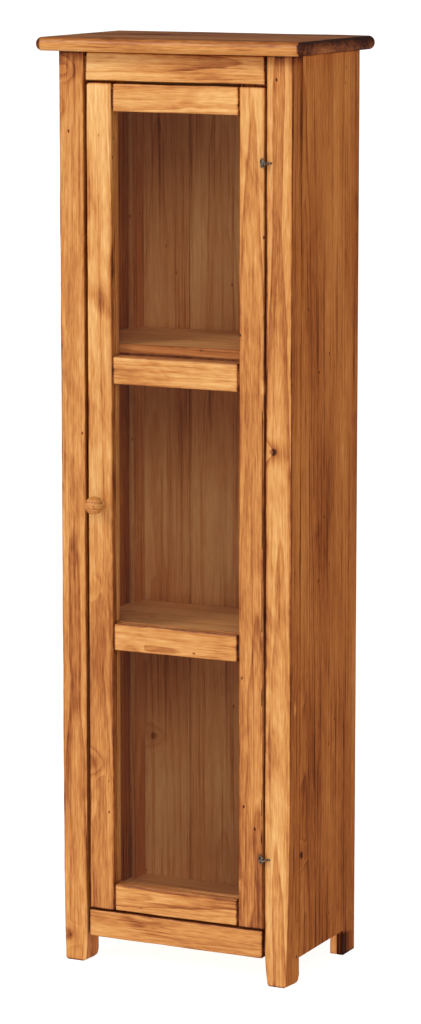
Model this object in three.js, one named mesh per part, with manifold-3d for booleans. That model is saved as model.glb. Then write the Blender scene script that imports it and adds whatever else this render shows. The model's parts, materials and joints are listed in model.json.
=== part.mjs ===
// A tall pantry cabinet in waxed pine: a face-framed carcass on four feet, two shelves, and one glazed
// door hung on forged eye pins, with a turned knob that works a wooden latch behind the post.
//
// Millimetres, +Z up. While it is built, x is 0 on the middle line with +x to the right of someone who
// faces the door, y is 0 on the face of the posts and grows towards the back, and z is 0 on the floor.

import * as THREE from 'three';
import { mergeVertices } from 'three/addons/utils/BufferGeometryUtils.js';
import Module from 'manifold-3d';

const wasm = await Module();
wasm.setup();

// ---------------------------------------------------------------- driving dimensions

const HEIGHT = 1830;

// Top board
const TOP_WIDTH = 566;
const TOP_DEPTH = 352;
const TOP_THICK = 28;
const TOP_OVERHANG_SIDE = 36;
const TOP_OVERHANG_FRONT = 36;
const TOP_OVERHANG_BACK = 0;
const TOP_EDGE_RADIUS = 11;
const TOP_CORNER_RADIUS = 14;

// Carcass
const POST_WIDTH = 54;
const POST_DEPTH = 48;
const FOOT_ROUNDING = 20;
const SIDE_THICK = 15;
const FOOT_HEIGHT = 52;
const BACK_FOOT_DEPTH = 55;
const REAR_BATTEN_THICK = 15;
const TONGUE_THICK = 6;
const TONGUE_LENGTH = 8;
const APRON_HEIGHT = 56;
const BOTTOM_RAIL_HEIGHT = 57;
const FRAME_RAIL_THICK = 22;
const FRAME_RAIL_SETBACK = 1;
const FRAME_SHOULDER_GAP = 1.2;
const FRAME_TENON_LENGTH = 24;
const BACK_THICK = 12;
const BACK_BOARDS = 4;
const BACK_LAP = 8;
const BACK_JOINT_GAP = 0.6;
const REAR_RAIL_THICK = 18;
const REAR_TOP_RAIL_HEIGHT = 50;

// Shelves, and how each one lies to the rail in front of it
const SHELF_THICK = 19;
const UPPER_SHELF_OVER_RAIL = 22;
const LOWER_SHELF_UNDER_RAIL = 12;
const FLOOR_UNDER_BOTTOM_RAIL = 4;
const SHELF_BEHIND_DOOR = 2;
const CLEAT_WIDTH = 18;
const CLEAT_HEIGHT = 22;

// Door
const DOOR_THICK = 32;
const DOOR_GAP_LATCH_SIDE = 4;
const DOOR_GAP_HINGE_SIDE = 2.5;
const DOOR_GAP_TOP = 3;
const DOOR_GAP_BOTTOM = 2.5;
const STILE_WIDTH = 55;
const DOOR_RAIL_HEIGHT = 55;
const DOOR_SHOULDER_GAP = 0.8;
const DOOR_TENON_LENGTH = 30;
const DOOR_TENON_FRONT = 4;
const TENON_THICK = 9;
const TENON_SHOULDER = 9;
const REBATE_WIDTH = 9;
const GLASS_SETBACK = 16;
const GLASS_THICK = 3;
const GLASS_EDGE_GAP = 1;
const BEAD_DEPTH = 12;

// Door stop behind the apron
const STOP_LENGTH = 240;
const STOP_THICK = 12;
const STOP_HEIGHT = 52;
const STOP_LIP = 12;
const STOP_GAP = 1;

// Knob and latch
const KNOB_RADIUS = 18;
const KNOB_STANDOFF = 26;
const KNOB_NECK_RADIUS = 8;
const KNOB_FOOT_RADIUS = 11;
const SHANK_RADIUS = 6;
const SHANK_END = 2;
const LATCH_HUB_RADIUS = 13;
const LATCH_BLADE_WIDTH = 15;
const LATCH_BLADE_THICK = 9;
const LATCH_REACH = 54;
const LATCH_GAP = 1;
const PEG_RADIUS = 2.5;

// Hinge eye pins
const HINGE_INSET = 142;
const HINGE_PROUD = 8.5;
const WIRE_RADIUS = 1.7;
const POST_EYE_RADIUS = 4.3;
const DOOR_EYE_RADIUS = 6.7;
const PIN_LENGTH = 42;
const PIN_TIP_LENGTH = 10;
const LEG_SPREAD = 1.5;

// Screws that hold the top board
const SCREW_RADIUS = 2;
const SCREW_HEAD_RADIUS = 4;
const SCREW_LENGTH = 38;
const SCREW_HEAD_HEIGHT = 3;
const SCREW_INSET = 40;

// Room round a piece that sits in another one
const CLEARANCE = 0.3;

// ---------------------------------------------------------------- places worked out from them

const halfWidth = TOP_WIDTH / 2 - TOP_OVERHANG_SIDE;
const carcassDepth = TOP_DEPTH - TOP_OVERHANG_FRONT - TOP_OVERHANG_BACK;
const carcassTop = HEIGHT - TOP_THICK;
const halfOpening = halfWidth - POST_WIDTH;
const halfInside = halfWidth - SIDE_THICK;
const halfBetweenBattens = halfInside - REAR_BATTEN_THICK;
const backFootFront = carcassDepth - BACK_FOOT_DEPTH;
const backBoardFront = carcassDepth - BACK_THICK;
const frameRailBack = FRAME_RAIL_SETBACK + FRAME_RAIL_THICK;

const apronBottom = carcassTop - APRON_HEIGHT;
const bottomRailBottom = FOOT_HEIGHT;
const bottomRailTop = bottomRailBottom + BOTTOM_RAIL_HEIGHT;

const doorLeft = -halfOpening + DOOR_GAP_LATCH_SIDE;
const doorRight = halfOpening - DOOR_GAP_HINGE_SIDE;
const doorBottom = bottomRailTop + DOOR_GAP_BOTTOM;
const doorTop = apronBottom - DOOR_GAP_TOP;
const paneLeft = doorLeft + STILE_WIDTH;
const paneRight = doorRight - STILE_WIDTH;
const paneHeight = (doorTop - doorBottom - 4 * DOOR_RAIL_HEIGHT) / 3;
const panePitch = paneHeight + DOOR_RAIL_HEIGHT;

const floorTop = bottomRailTop - FLOOR_UNDER_BOTTOM_RAIL;
const lowerShelfTop = doorBottom + panePitch + DOOR_RAIL_HEIGHT - LOWER_SHELF_UNDER_RAIL;
const upperShelfTop = doorBottom + 2 * panePitch + DOOR_RAIL_HEIGHT + UPPER_SHELF_OVER_RAIL;

const knobX = doorLeft + STILE_WIDTH / 2;
const knobZ = (doorBottom + doorTop) / 2;
const bladeFront = POST_DEPTH + LATCH_GAP;
const bladeBack = bladeFront + LATCH_BLADE_THICK;
const hingeX = (doorRight + halfOpening) / 2;

// ---------------------------------------------------------------- materials

const wood = (color, roughness) => new THREE.MeshStandardMaterial({ color, roughness, metalness: 0 });
const pineFront = wood(0xd9a05c, 0.5);
const pineSide = wood(0x9c6034, 0.55);
const pineTop = wood(0xb07440, 0.5);
const pineInside = wood(0x7c4d2c, 0.6);
const glass = new THREE.MeshStandardMaterial({
  color: 0xe6eeec,
  roughness: 0.05,
  metalness: 0,
  transparent: true,
  opacity: 0.25,
});
const iron = new THREE.MeshStandardMaterial({ color: 0x35302b, roughness: 0.6, metalness: 0.9 });
const steel = new THREE.MeshStandardMaterial({ color: 0x9a9a98, roughness: 0.4, metalness: 1 });

// ---------------------------------------------------------------- solids

// Turns a closed geometry into a solid that can be joined and cut.
function solidOf(geometry) {
  const bare = geometry.clone();
  bare.deleteAttribute('normal');
  bare.deleteAttribute('uv');
  const merged = mergeVertices(bare, 1e-4);
  return new wasm.Manifold(new wasm.Mesh({
    numProp: 3,
    vertProperties: new Float32Array(merged.attributes.position.array),
    triVerts: new Uint32Array(merged.index.array),
  }));
}

// Turns a solid back into a geometry.
function geometryOf(solid) {
  const { vertProperties, triVerts } = solid.getMesh();
  const geometry = new THREE.BufferGeometry();
  geometry.setAttribute('position', new THREE.BufferAttribute(vertProperties, 3));
  geometry.setIndex(new THREE.BufferAttribute(triVerts, 1));
  geometry.computeVertexNormals();
  return geometry;
}

// The box between a low and a high value along x, y and z.
function box(x, y, z) {
  return new THREE.Box3(new THREE.Vector3(x[0], y[0], z[0]), new THREE.Vector3(x[1], y[1], z[1]));
}

function boxSolid(shape) {
  const size = shape.getSize(new THREE.Vector3());
  const middle = shape.getCenter(new THREE.Vector3());
  return solidOf(new THREE.BoxGeometry(size.x, size.y, size.z).translate(middle.x, middle.y, middle.z));
}

// A solid with an outline in y and z, and a thickness from one x to another.
function slabSolid(outline, x) {
  const shape = new THREE.ExtrudeGeometry(outline, {
    depth: x[1] - x[0],
    bevelEnabled: false,
    curveSegments: 6,
  });
  const turn = new THREE.Matrix4().makeBasis(
    new THREE.Vector3(0, 1, 0),
    new THREE.Vector3(0, 0, 1),
    new THREE.Vector3(1, 0, 0),
  );
  return solidOf(shape.applyMatrix4(turn).translate(x[0], 0, 0));
}

// A round solid on an axis along y, from its half outline as [radius, y] points that start and end
// on the axis.
function turnedSolid(outline, x, z, segments = 20) {
  const points = outline.map(([radius, y]) => new THREE.Vector2(radius, y));
  return solidOf(new THREE.LatheGeometry(points, segments).translate(x, 0, z));
}

function cylinderSolid(radius, length, segments = 12) {
  return solidOf(new THREE.CylinderGeometry(radius, radius, length, segments));
}

const cut = (solid, cutters) => cutters.reduce((rest, cutter) => rest.subtract(cutter), solid);
const cutBoxes = (solid, boxes) => cut(solid, boxes.map(boxSolid));
const grown = (shape, by) => shape.clone().expandByScalar(by);
const mirrored = ([low, high]) => [-high, -low];

const cabinet = new THREE.Group();

// Adds a named mesh whose own origin is the middle of the piece.
function addPiece(name, solid, material) {
  const geometry = geometryOf(solid);
  geometry.computeBoundingBox();
  const middle = geometry.boundingBox.getCenter(new THREE.Vector3());
  geometry.translate(-middle.x, -middle.y, -middle.z);
  const mesh = new THREE.Mesh(geometry, material);
  mesh.name = name;
  mesh.position.copy(middle);
  cabinet.add(mesh);
}

const addBoard = (name, shape, material) => addPiece(name, boxSolid(shape), material);

// ---------------------------------------------------------------- hinge eye pins

// A pin's own frame: the hinge axis is z through its origin, and the legs run along +x. The post's
// eye lies flat round the axis. The door's eye stands up through it, with its outer wire on the axis.
function eyePinSolid(standing) {
  const eyeRadius = standing ? DOOR_EYE_RADIUS : POST_EYE_RADIUS;
  const eyeMiddle = standing ? DOOR_EYE_RADIUS : 0;
  const ring = new THREE.TorusGeometry(eyeRadius, WIRE_RADIUS, 8, 20);
  let pin = solidOf((standing ? ring.rotateX(Math.PI / 2) : ring).translate(eyeMiddle, 0, 0));
  const legStart = eyeMiddle + eyeRadius - WIRE_RADIUS / 2;
  const shaftLength = PIN_LENGTH - PIN_TIP_LENGTH - legStart;
  for (const side of [-1, 1]) {
    const offset = [0, standing ? 0 : side * LEG_SPREAD, standing ? side * LEG_SPREAD : 0];
    const shaft = new THREE.CylinderGeometry(WIRE_RADIUS, WIRE_RADIUS, shaftLength, 10);
    const tip = new THREE.CylinderGeometry(WIRE_RADIUS / 3, WIRE_RADIUS, PIN_TIP_LENGTH, 10);
    shaft.rotateZ(-Math.PI / 2).translate(legStart + shaftLength / 2, 0, 0).translate(...offset);
    tip.rotateZ(-Math.PI / 2).translate(PIN_LENGTH - PIN_TIP_LENGTH / 2, 0, 0).translate(...offset);
    pin = pin.add(solidOf(shaft)).add(solidOf(tip));
  }
  return pin;
}

// The room that a pin takes in the wood, in the pin's own frame.
function eyePinRoom(standing) {
  const thin = WIRE_RADIUS + CLEARANCE;
  const wide = WIRE_RADIUS + LEG_SPREAD + CLEARANCE;
  const [halfY, halfZ] = standing ? [thin, wide] : [wide, thin];
  let room = boxSolid(box([0, PIN_LENGTH + CLEARANCE], [-halfY, halfY], [-halfZ, halfZ]));
  if (standing) {
    const eyeReach = DOOR_EYE_RADIUS + WIRE_RADIUS + CLEARANCE;
    const eyeSpan = [DOOR_EYE_RADIUS - eyeReach, DOOR_EYE_RADIUS + eyeReach];
    room = room.add(boxSolid(box(eyeSpan, [-thin, thin], [-eyeReach, eyeReach])));
  }
  return room;
}

// The legs run into the wood half way between across and back: to the right in the post, to the left
// in the door.
const pinPlace = (solid, standing, z) => solid
  .rotate([0, 0, standing ? 135 : 45])
  .translate([hingeX, -HINGE_PROUD, z]);

const hingeHeights = { upper: doorTop - HINGE_INSET, lower: doorBottom + HINGE_INSET };
const pinRooms = (standing) => Object.values(hingeHeights)
  .map((z) => pinPlace(eyePinRoom(standing), standing, z));

for (const [level, z] of Object.entries(hingeHeights)) {
  addPiece(`${level}_post_pin`, pinPlace(eyePinSolid(false), false, z), iron);
  addPiece(`${level}_door_pin`, pinPlace(eyePinSolid(true), true, z), iron);
}

// ---------------------------------------------------------------- top board and its screws

const cleatSpan = [POST_DEPTH, backFootFront];
const screwSpots = {
  front_left: [-1, cleatSpan[0] + SCREW_INSET],
  front_right: [1, cleatSpan[0] + SCREW_INSET],
  rear_left: [-1, cleatSpan[1] - SCREW_INSET],
  rear_right: [1, cleatSpan[1] - SCREW_INSET],
};

// A countersunk screw standing on its head, or the hole for it when room is the clearance.
function screwSolid(side, y, room = 0) {
  const head = SCREW_HEAD_RADIUS + room;
  const shaft = SCREW_RADIUS + room;
  const outline = [
    [0, -room],
    [head, -room],
    [head, room],
    [shaft, SCREW_HEAD_HEIGHT + room],
    [shaft, SCREW_LENGTH - SCREW_RADIUS],
    [0, SCREW_LENGTH + room],
  ];
  const points = outline.map(([radius, z]) => new THREE.Vector2(radius, z));
  const screw = new THREE.LatheGeometry(points, 12).rotateX(Math.PI / 2);
  const x = side * (halfInside - CLEAT_WIDTH / 2);
  return solidOf(screw.translate(x, y, carcassTop - CLEAT_HEIGHT));
}

const screwHoles = Object.values(screwSpots).map(([side, y]) => screwSolid(side, y, CLEARANCE));

function topBoardSolid() {
  const halfX = TOP_WIDTH / 2;
  const halfY = TOP_DEPTH / 2;
  const r = TOP_CORNER_RADIUS;
  const outline = new THREE.Shape();
  outline.absarc(halfX - r, halfY - r, r, 0, Math.PI / 2);
  outline.absarc(-halfX + r, halfY - r, r, Math.PI / 2, Math.PI);
  outline.absarc(-halfX + r, -halfY + r, r, Math.PI, 1.5 * Math.PI);
  outline.absarc(halfX - r, -halfY + r, r, 1.5 * Math.PI, 2 * Math.PI);
  const board = new THREE.ExtrudeGeometry(outline, {
    depth: TOP_THICK - 2 * TOP_EDGE_RADIUS,
    bevelThickness: TOP_EDGE_RADIUS,
    bevelSize: TOP_EDGE_RADIUS,
    bevelOffset: -TOP_EDGE_RADIUS,
    bevelSegments: 4,
    curveSegments: 4,
  });
  return solidOf(board.translate(0, halfY - TOP_OVERHANG_FRONT, carcassTop + TOP_EDGE_RADIUS));
}

addPiece('top_board', cut(topBoardSolid(), screwHoles), pineTop);
for (const [place, [side, y]] of Object.entries(screwSpots)) {
  addPiece(`top_screw_${place}`, screwSolid(side, y), steel);
}

// ---------------------------------------------------------------- face frame

// A rail between two uprights, with a tenon on each end.
function tenonedRail({ halfLength, middle, y, z, tenonLength, tenonY }) {
  const body = box([middle - halfLength, middle + halfLength], y, z);
  const reach = halfLength + tenonLength;
  const tenonZ = [z[0] + TENON_SHOULDER, z[1] - TENON_SHOULDER];
  const tenon = box([middle - reach, middle + reach], tenonY, tenonZ);
  return { solid: boxSolid(body).add(boxSolid(tenon)), mortise: grown(tenon, CLEARANCE) };
}

const frameTenonFront = FRAME_RAIL_SETBACK + (FRAME_RAIL_THICK - TENON_THICK) / 2;
const frameRail = (z) => tenonedRail({
  halfLength: halfOpening - FRAME_SHOULDER_GAP,
  middle: 0,
  y: [FRAME_RAIL_SETBACK, frameRailBack],
  z,
  tenonLength: FRAME_TENON_LENGTH,
  tenonY: [frameTenonFront, frameTenonFront + TENON_THICK],
});
const apron = frameRail([apronBottom, carcassTop]);
const bottomRail = frameRail([bottomRailBottom, bottomRailTop]);
addPiece('apron', apron.solid, pineFront);
addPiece('bottom_rail', bottomRail.solid, pineFront);

// The post's outline seen from the side: its foot is rounded off at the back.
function postOutline() {
  const outline = new THREE.Shape();
  outline.moveTo(0, 0);
  outline.lineTo(POST_DEPTH - FOOT_ROUNDING, 0);
  outline.absarc(POST_DEPTH - FOOT_ROUNDING, FOOT_ROUNDING, FOOT_ROUNDING, -Math.PI / 2, 0);
  outline.lineTo(POST_DEPTH, carcassTop);
  outline.lineTo(0, carcassTop);
  return outline;
}

// The side panel's outline seen from the side: cut away between the front post and the back foot.
function sideOutline() {
  const outline = new THREE.Shape();
  outline.moveTo(POST_DEPTH, FOOT_HEIGHT);
  outline.lineTo(backFootFront, FOOT_HEIGHT);
  outline.lineTo(backFootFront, 0);
  outline.lineTo(carcassDepth, 0);
  outline.lineTo(carcassDepth, carcassTop);
  outline.lineTo(POST_DEPTH, carcassTop);
  return outline;
}

const tongueMiddle = halfWidth - SIDE_THICK / 2;
const tongueX = [tongueMiddle - TONGUE_THICK / 2, tongueMiddle + TONGUE_THICK / 2];

for (const [side, sign] of [['left', -1], ['right', 1]]) {
  const onSide = (x) => (sign < 0 ? mirrored(x) : x);
  const tongue = box(onSide(tongueX), [POST_DEPTH - TONGUE_LENGTH, POST_DEPTH], [FOOT_HEIGHT, carcassTop]);
  const joints = [apron.mortise, bottomRail.mortise, grown(tongue, CLEARANCE)];
  let post = slabSolid(postOutline(), onSide([halfOpening, halfWidth]));
  post = cutBoxes(post, joints);
  addPiece(`${side}_post`, sign < 0 ? post : cut(post, pinRooms(false)), pineFront);

  const panel = slabSolid(sideOutline(), onSide([halfInside, halfWidth]));
  addPiece(`${side}_side_panel`, panel.add(boxSolid(tongue)), pineSide);
  const batten = box(
    onSide([halfBetweenBattens, halfInside]),
    [backFootFront, backBoardFront],
    [0, carcassTop],
  );
  addBoard(`${side}_rear_batten`, batten, pineInside);
}

// ---------------------------------------------------------------- back

const rearRailY = [backBoardFront - REAR_RAIL_THICK, backBoardFront];
const betweenBattens = [-halfBetweenBattens, halfBetweenBattens];
const rearTopRailZ = [carcassTop - REAR_TOP_RAIL_HEIGHT, carcassTop];
const rearBottomRailZ = [bottomRailBottom, floorTop - SHELF_THICK];
addBoard('rear_top_rail', box(betweenBattens, rearRailY, rearTopRailZ), pineInside);
addBoard('rear_bottom_rail', box(betweenBattens, rearRailY, rearBottomRailZ), pineInside);

// Shiplapped boards: each one's right edge runs on behind the next one's left edge.
const backZ = [bottomRailBottom, carcassTop];
const lapY = backBoardFront + BACK_THICK / 2;
const backPitch = (2 * halfInside) / BACK_BOARDS;
for (let i = 0; i < BACK_BOARDS; i += 1) {
  const left = -halfInside + i * backPitch;
  const right = left + backPitch;
  const isFirst = i === 0;
  const isLast = i === BACK_BOARDS - 1;
  const stock = box([left, isLast ? right : right + BACK_LAP], [backBoardFront, carcassDepth], backZ);
  const laps = [];
  if (!isLast) {
    laps.push(box([right - BACK_JOINT_GAP, right + BACK_LAP], [backBoardFront, lapY], backZ));
  }
  if (!isFirst) {
    laps.push(box([left, left + BACK_LAP + BACK_JOINT_GAP], [lapY, carcassDepth], backZ));
  }
  const cutters = laps.map((lap) => lap.expandByVector(new THREE.Vector3(0, 0, 1)));
  addPiece(`back_board_${i + 1}`, cutBoxes(boxSolid(stock), cutters), pineInside);
}

// ---------------------------------------------------------------- floor, shelves and cleats

// A shelf between the side panels, notched round the posts and the rear battens.
function shelfSolid(front, top) {
  const z = [top - SHELF_THICK, top];
  const through = [z[0] - 1, z[1] + 1];
  const notches = [];
  for (const onSide of [(x) => x, mirrored]) {
    notches.push(box(onSide([halfOpening, halfInside + 1]), [front - 1, POST_DEPTH], through));
    notches.push(box(onSide([halfBetweenBattens, halfInside + 1]), [backFootFront, carcassDepth], through));
  }
  return cutBoxes(boxSolid(box([-halfInside, halfInside], [front, backBoardFront], z)), notches);
}

const shelfFront = DOOR_THICK + SHELF_BEHIND_DOOR;
addPiece('floor_board', shelfSolid(frameRailBack, floorTop), pineInside);
addPiece('lower_shelf', shelfSolid(shelfFront, lowerShelfTop), pineInside);
addPiece('upper_shelf', shelfSolid(shelfFront, upperShelfTop), pineInside);

const cleatTops = {
  floor: floorTop - SHELF_THICK,
  lower_shelf: lowerShelfTop - SHELF_THICK,
  upper_shelf: upperShelfTop - SHELF_THICK,
  top: carcassTop,
};
for (const [level, top] of Object.entries(cleatTops)) {
  for (const [side, onSide] of [['left', mirrored], ['right', (x) => x]]) {
    const cleat = box(onSide([halfInside - CLEAT_WIDTH, halfInside]), cleatSpan, [top - CLEAT_HEIGHT, top]);
    const holes = level === 'top' ? screwHoles : [];
    addPiece(`${level}_cleat_${side}`, cut(boxSolid(cleat), holes), pineInside);
  }
}

// ---------------------------------------------------------------- door stop

// A strip on the back of the apron, with a lip that hangs behind the door's top rail.
const stopFace = DOOR_THICK + STOP_GAP;
const stopBottom = doorTop - STOP_LIP;
const stopX = [-STOP_LENGTH / 2, STOP_LENGTH / 2];
const stopStock = box(stopX, [frameRailBack, stopFace + STOP_THICK], [stopBottom, stopBottom + STOP_HEIGHT]);
const stopRebate = box(
  [stopX[0] - 1, stopX[1] + 1],
  [frameRailBack - 1, stopFace],
  [stopBottom - 1, apronBottom],
);
addPiece('door_stop', cutBoxes(boxSolid(stopStock), [stopRebate]), pineInside);

// ---------------------------------------------------------------- door

const paneX = [paneLeft, paneRight];
const paneNames = ['lower', 'middle', 'upper'];
const paneZ = paneNames.map((_, i) => {
  const bottom = doorBottom + DOOR_RAIL_HEIGHT + i * panePitch;
  return [bottom, bottom + paneHeight];
});
const wider = ([low, high], by) => [low - by, high + by];
const rebates = paneZ.map((z) => (
  box(wider(paneX, REBATE_WIDTH), [GLASS_SETBACK, DOOR_THICK + 1], wider(z, REBATE_WIDTH))
));

const doorRail = (z) => tenonedRail({
  halfLength: (paneRight - paneLeft) / 2 - DOOR_SHOULDER_GAP,
  middle: (paneLeft + paneRight) / 2,
  y: [0, DOOR_THICK],
  z,
  tenonLength: DOOR_TENON_LENGTH,
  tenonY: [DOOR_TENON_FRONT, DOOR_TENON_FRONT + TENON_THICK],
});
const mortises = ['bottom', 'lower', 'upper', 'top'].map((level, i) => {
  const bottom = doorBottom + i * panePitch;
  const rail = doorRail([bottom, bottom + DOOR_RAIL_HEIGHT]);
  addPiece(`door_${level}_rail`, cutBoxes(rail.solid, rebates), pineFront);
  return rail.mortise;
});

const shankHole = cylinderSolid(SHANK_RADIUS + CLEARANCE, 4 * DOOR_THICK, 20).translate([knobX, 0, knobZ]);
const stileSolid = (x) => (
  cutBoxes(boxSolid(box(x, [0, DOOR_THICK], [doorBottom, doorTop])), [...rebates, ...mortises])
);
addPiece('door_left_stile', stileSolid([doorLeft, paneLeft]).subtract(shankHole), pineFront);
addPiece('door_right_stile', cut(stileSolid([paneRight, doorRight]), pinRooms(true)), pineFront);

// Each pane lies in its rebate, held from behind by four beads.
const glassReach = REBATE_WIDTH - GLASS_EDGE_GAP;
const glassY = [GLASS_SETBACK, GLASS_SETBACK + GLASS_THICK];
const beadY = [glassY[1], glassY[1] + BEAD_DEPTH];
paneNames.forEach((name, i) => {
  const z = paneZ[i];
  addBoard(`glass_${name}`, box(wider(paneX, glassReach), glassY, wider(z, glassReach)), glass);
  const beads = {
    left: [[paneLeft - REBATE_WIDTH, paneLeft], z],
    right: [[paneRight, paneRight + REBATE_WIDTH], z],
    below: [wider(paneX, REBATE_WIDTH), [z[0] - REBATE_WIDTH, z[0]]],
    above: [wider(paneX, REBATE_WIDTH), [z[1], z[1] + REBATE_WIDTH]],
  };
  for (const [edge, [beadX, beadZ]] of Object.entries(beads)) {
    addBoard(`bead_${name}_${edge}`, box(beadX, beadY, beadZ), pineInside);
  }
});

// ---------------------------------------------------------------- knob and latch

// The ball, its neck and its foot against the door, and the shank that carries the latch.
function knobSolid() {
  const outline = [[0, -KNOB_STANDOFF - KNOB_RADIUS]];
  const neckAngle = Math.asin(KNOB_NECK_RADIUS / KNOB_RADIUS);
  const steps = 9;
  for (let i = 1; i <= steps; i += 1) {
    const angle = (i / steps) * (Math.PI - neckAngle);
    outline.push([KNOB_RADIUS * Math.sin(angle), -KNOB_STANDOFF - KNOB_RADIUS * Math.cos(angle)]);
  }
  outline.push([KNOB_FOOT_RADIUS, -2 * CLEARANCE - 3]);
  outline.push([KNOB_FOOT_RADIUS, -2 * CLEARANCE]);
  outline.push([SHANK_RADIUS, -2 * CLEARANCE]);
  outline.push([SHANK_RADIUS, bladeBack + SHANK_END]);
  outline.push([0, bladeBack + SHANK_END]);
  return turnedSolid(outline, knobX, knobZ);
}

// The latch hangs down when it is open: a hub on the shank, and a blade level with the post's back.
function latchSolid() {
  const hubFront = DOOR_THICK + 2 * CLEARANCE;
  const hub = turnedSolid(
    [[0, hubFront], [LATCH_HUB_RADIUS, hubFront], [LATCH_HUB_RADIUS, bladeBack], [0, bladeBack]],
    knobX,
    knobZ,
  );
  const half = LATCH_BLADE_WIDTH / 2;
  const blade = boxSolid(box([knobX - half, knobX + half], [bladeFront, bladeBack], [knobZ - LATCH_REACH, knobZ]));
  return hub.add(blade).subtract(shankHole);
}

const pegY = (DOOR_THICK + bladeFront) / 2;
const pegSolid = (radius, length) => (
  cylinderSolid(radius, length).rotate([0, 0, 90]).translate([knobX, pegY, knobZ])
);
const pegHole = pegSolid(PEG_RADIUS + CLEARANCE, 4 * LATCH_HUB_RADIUS);
addPiece('knob', knobSolid().subtract(pegHole), pineFront);
addPiece('latch_tongue', latchSolid().subtract(pegHole), pineInside);
addPiece('latch_peg', pegSolid(PEG_RADIUS, 2 * LATCH_HUB_RADIUS), pineFront);

// ---------------------------------------------------------------- the whole cabinet

// The part's origin is on the floor, under the middle of everything it takes up.
const frontReach = Math.max(KNOB_STANDOFF + KNOB_RADIUS, TOP_OVERHANG_FRONT);
const backReach = carcassDepth + TOP_OVERHANG_BACK;
cabinet.position.y = (frontReach - backReach) / 2;

const group = new THREE.Group();
group.name = 'pantry_cabinet';
group.add(cabinet);

export default group;
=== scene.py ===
# %% [markdown]
# # A tall pantry cabinet in waxed pine
#
# The imported model is the maker's drawing: it says how big each board is and how it is joined.
# This lesson puts the workshop back into it. Each board gets softened edges, a surface that a hand
# plane has wandered over, and a finish that knows where in the log the board was sawn.
#
# The first cell loads the drawing and puts each of its parts on the body that it moves with.
# Nothing may grow past it.

# %% Load the drawing
import json
import math
import random

import bmesh
import bpy
from mathutils import Matrix, Vector, noise

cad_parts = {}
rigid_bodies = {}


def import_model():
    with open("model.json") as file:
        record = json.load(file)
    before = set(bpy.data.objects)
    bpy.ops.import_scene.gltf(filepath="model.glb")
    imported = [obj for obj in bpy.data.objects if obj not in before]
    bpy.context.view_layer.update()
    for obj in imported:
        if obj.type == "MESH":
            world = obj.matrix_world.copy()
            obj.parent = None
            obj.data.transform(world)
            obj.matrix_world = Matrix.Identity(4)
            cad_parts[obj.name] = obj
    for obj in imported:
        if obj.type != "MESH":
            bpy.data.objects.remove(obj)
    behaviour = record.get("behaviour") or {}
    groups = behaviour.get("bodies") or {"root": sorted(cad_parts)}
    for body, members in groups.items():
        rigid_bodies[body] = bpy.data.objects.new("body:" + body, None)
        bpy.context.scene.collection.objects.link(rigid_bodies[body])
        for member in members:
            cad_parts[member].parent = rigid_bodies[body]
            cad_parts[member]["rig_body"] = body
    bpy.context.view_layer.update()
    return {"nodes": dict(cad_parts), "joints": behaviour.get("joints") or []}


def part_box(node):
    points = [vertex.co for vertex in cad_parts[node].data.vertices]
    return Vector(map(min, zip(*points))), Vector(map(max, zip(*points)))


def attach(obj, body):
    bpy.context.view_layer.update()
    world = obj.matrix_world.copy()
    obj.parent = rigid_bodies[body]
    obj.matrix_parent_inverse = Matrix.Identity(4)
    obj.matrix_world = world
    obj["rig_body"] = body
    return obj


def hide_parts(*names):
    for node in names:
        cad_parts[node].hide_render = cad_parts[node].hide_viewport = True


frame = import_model()
nodes = frame["nodes"]
joints = {joint["name"]: joint for joint in frame["joints"]}

# %% [markdown]
# ## The camera
#
# The cabinet is seen from a few steps away, a little from its right and a little from above, with
# a long lens that keeps the uprights almost parallel. A camera is easiest to place by the angle it
# looks along and its distance from a point it aims at, so those are the named values here.

# %% The camera
AIM = Vector((0.0, 0.024, 0.898))
CAMERA_DISTANCE = 7.492
CAMERA_TURN = math.radians(25.66)
CAMERA_RISE = math.radians(9.6)
LENS_MM = 133.8
FARTHEST_SEEN = 200.0

toward_camera = Vector((
    math.sin(CAMERA_TURN) * math.cos(CAMERA_RISE),
    -math.cos(CAMERA_TURN) * math.cos(CAMERA_RISE),
    math.sin(CAMERA_RISE),
))
scene = bpy.context.scene
camera = bpy.data.objects.new("camera", bpy.data.cameras.new("camera"))
camera.data.lens = LENS_MM
camera.data.clip_end = FARTHEST_SEEN
camera.location = AIM + toward_camera * CAMERA_DISTANCE
camera.rotation_euler = toward_camera.to_track_quat("Z", "Y").to_euler()
scene.collection.objects.link(camera)
scene.camera = camera
print("camera at", tuple(round(value, 3) for value in camera.location))

# %% [markdown]
# ## Short ways to write a finish
#
# A finish is a tree of shader nodes. Written out one by one the tree is hard to read, so this
# small class adds a node and joins its inputs in one line: an input may be a number, a colour or
# the output of another node.


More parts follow.
